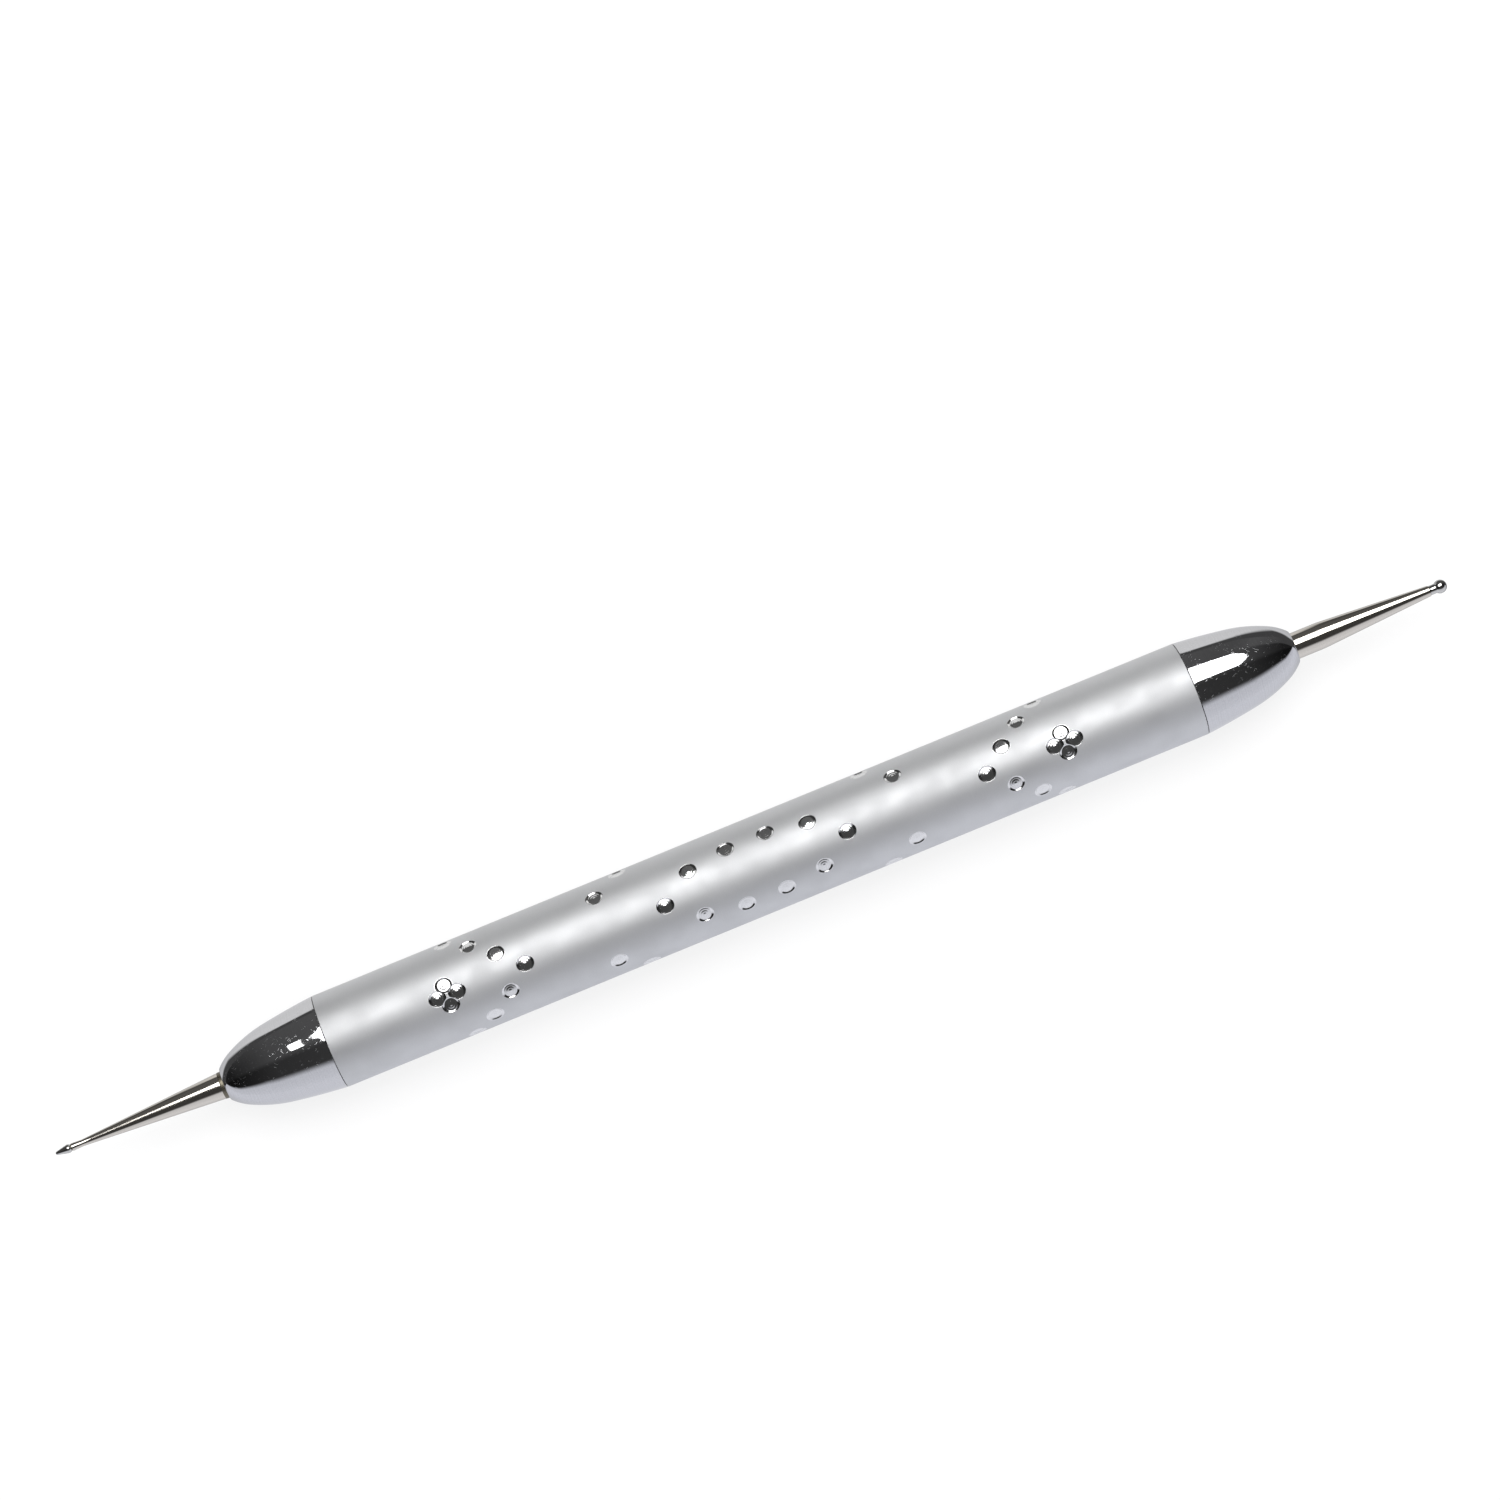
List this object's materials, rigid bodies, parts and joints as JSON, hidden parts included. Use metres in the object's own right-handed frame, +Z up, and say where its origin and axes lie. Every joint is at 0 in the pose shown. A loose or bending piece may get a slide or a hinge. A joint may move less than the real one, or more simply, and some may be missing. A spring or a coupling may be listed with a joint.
{
  "type": "double-ended embossing stylus",
  "caption": "Double-ended embossing stylus: a satin barrel with polished pockets, bullet noses that screw in at its ends, and tapered shanks with a ball tip and a teardrop tip.",
  "frame": {"origin": "under the middle of the whole length, at the lowest line of the barrel, on the surface that it lies on", "axes": "+X along the tool towards the ball tip, +Z up through the middle of the pocket figure, +Y across"},
  "size_m": [0.131, 0.0084, 0.0085],
  "materials": {
    "satin_aluminium": "blasted and anodised satin, with mirror-cut pockets",
    "brass": "turned and tapped, bare",
    "mirror_chrome": "mirror-polished chrome plate",
    "polished_steel": "ground and polished stainless steel",
    "tip_steel": "hardened steel, mirror polished"
  },
  "bodies": {
    "handle": {"barrel": "satin_aluminium", "bush_teardrop_end": "brass", "bush_ball_end": "brass"},
    "teardrop_head": {"nose_teardrop_end": "mirror_chrome", "shank_teardrop_end": "polished_steel", "teardrop_tip": "tip_steel"},
    "ball_head": {"nose_ball_end": "mirror_chrome", "shank_ball_end": "polished_steel", "ball_tip": "tip_steel"}
  },
  "joints": [
    {"name": "unscrew_teardrop_head", "type": "slide", "parent": "handle", "child": "teardrop_head", "axis": [-1, 0, 0], "range_m": [0, 0.01]},
    {"name": "unscrew_ball_head", "type": "slide", "parent": "handle", "child": "ball_head", "axis": [1, 0, 0], "range_m": [0, 0.01]}
  ]
}
